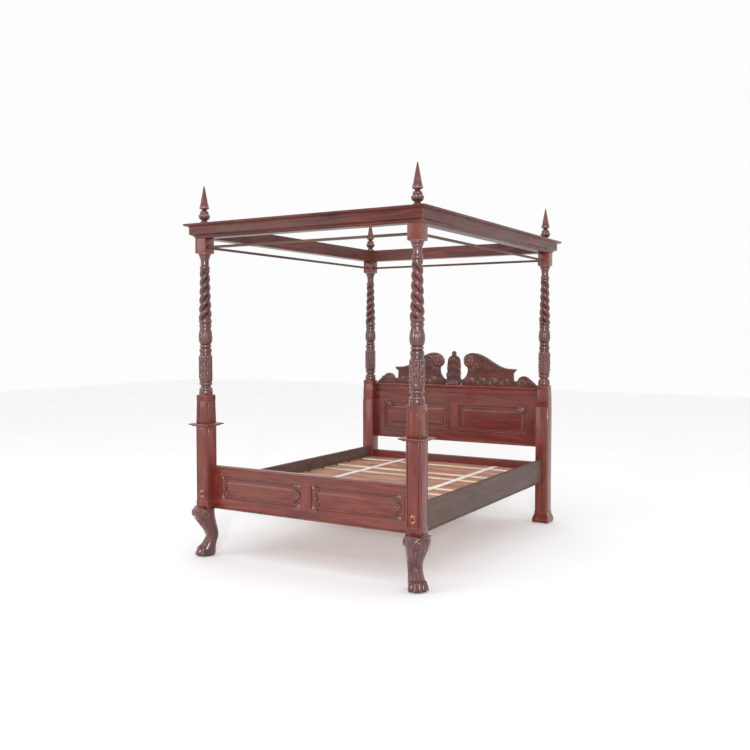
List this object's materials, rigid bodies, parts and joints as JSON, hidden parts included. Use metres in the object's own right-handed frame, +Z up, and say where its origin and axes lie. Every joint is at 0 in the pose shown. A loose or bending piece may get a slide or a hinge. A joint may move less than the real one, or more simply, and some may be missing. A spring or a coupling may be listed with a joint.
{
  "type": "four poster bed frame",
  "caption": "Mahogany four poster double bedstead with cornice canopy, curtain rods, twist-turned posts, paw feet, panelled ends, scrolled crest and lift-out slats.",
  "frame": {"origin": "on the floor, at the middle of the bed", "axes": "+X to the right seen from the foot, +Y towards the head, +Z up"},
  "size_m": [1.633, 2.136, 2.25],
  "materials": {
    "mahogany": "polished red-brown mahogany",
    "dark_mahogany": "dark stained, satin",
    "pine": "planed, unvarnished pinkish softwood",
    "webbing": "woven off-white cotton tape",
    "brass": "polished brass",
    "steel": "zinc plated"
  },
  "bodies": {
    "bedstead": {"bed_bolt_left": "steel", "bed_bolt_right": "steel", "crest_left": "mahogany", "crest_ornament": "mahogany", "crest_right": "mahogany", "curtain_rod_foot": "dark_mahogany", "curtain_rod_head": "dark_mahogany", "curtain_rod_left": "dark_mahogany", "curtain_rod_right": "dark_mahogany", "foot_post_collar_left": "mahogany", "foot_post_collar_right": "mahogany", "foot_post_lower_left": "mahogany", "foot_post_lower_right": "mahogany", "foot_post_upper_left": "mahogany", "foot_post_upper_right": "mahogany", "footboard_bottom_rail": "mahogany", "footboard_muntin": "mahogany", "footboard_panel_left": "mahogany", "footboard_panel_right": "mahogany", "footboard_stile_left": "mahogany", "footboard_stile_right": "mahogany", "footboard_top_rail": "mahogany", "head_post_lower_left": "mahogany", "head_post_lower_right": "mahogany", "head_post_upper_left": "mahogany", "head_post_upper_right": "mahogany", "head_rail": "mahogany", "headboard_bottom_rail": "mahogany", "headboard_muntin": "mahogany", "headboard_panel_left": "mahogany", "headboard_panel_right": "mahogany", "headboard_stile_left": "mahogany", "headboard_stile_right": "mahogany", "headboard_top_rail": "mahogany", "side_rail_left": "dark_mahogany", "side_rail_right": "dark_mahogany", "slat_ledge_left": "pine", "slat_ledge_right": "pine"},
    "canopy": {"cornice_rail_foot": "mahogany", "cornice_rail_head": "mahogany", "cornice_rail_left": "mahogany", "cornice_rail_right": "mahogany"},
    "slat_set": {"slat_01": "pine", "slat_02": "pine", "slat_03": "pine", "slat_04": "pine", "slat_05": "pine", "slat_06": "pine", "slat_07": "pine", "slat_08": "pine", "slat_09": "pine", "slat_10": "pine", "webbing_left": "webbing", "webbing_right": "webbing"},
    "bolt_cover_left": {"bolt_cover_left": "brass"},
    "bolt_cover_right": {"bolt_cover_right": "brass"},
    "finial_foot_left": {"finial_foot_left": "mahogany"},
    "finial_foot_right": {"finial_foot_right": "mahogany"},
    "finial_head_left": {"finial_head_left": "mahogany"},
    "finial_head_right": {"finial_head_right": "mahogany"}
  },
  "joints": [
    {"name": "canopy_lift", "type": "slide", "parent": "bedstead", "child": "canopy", "axis": [0, 0, 1], "range_m": [0, 0.3]},
    {"name": "slat_set_lift", "type": "slide", "parent": "bedstead", "child": "slat_set", "axis": [0, 0, 1], "range_m": [0, 0.35]},
    {"name": "finial_foot_left_lift", "type": "slide", "parent": "canopy", "child": "finial_foot_left", "axis": [0, 0, 1], "range_m": [0, 0.15]},
    {"name": "finial_foot_right_lift", "type": "slide", "parent": "canopy", "child": "finial_foot_right", "axis": [0, 0, 1], "range_m": [0, 0.15]},
    {"name": "finial_head_left_lift", "type": "slide", "parent": "canopy", "child": "finial_head_left", "axis": [0, 0, 1], "range_m": [0, 0.15]},
    {"name": "finial_head_right_lift", "type": "slide", "parent": "canopy", "child": "finial_head_right", "axis": [0, 0, 1], "range_m": [0, 0.15]},
    {"name": "bolt_cover_left_swing", "type": "hinge", "parent": "bedstead", "child": "bolt_cover_left", "pos_m": [-0.7265, -1.023, 0.405], "axis": [0, -1, 0], "range_deg": [-150, 150]},
    {"name": "bolt_cover_right_swing", "type": "hinge", "parent": "bedstead", "child": "bolt_cover_right", "pos_m": [0.7265, -1.023, 0.405], "axis": [0, -1, 0], "range_deg": [-150, 150]}
  ]
}
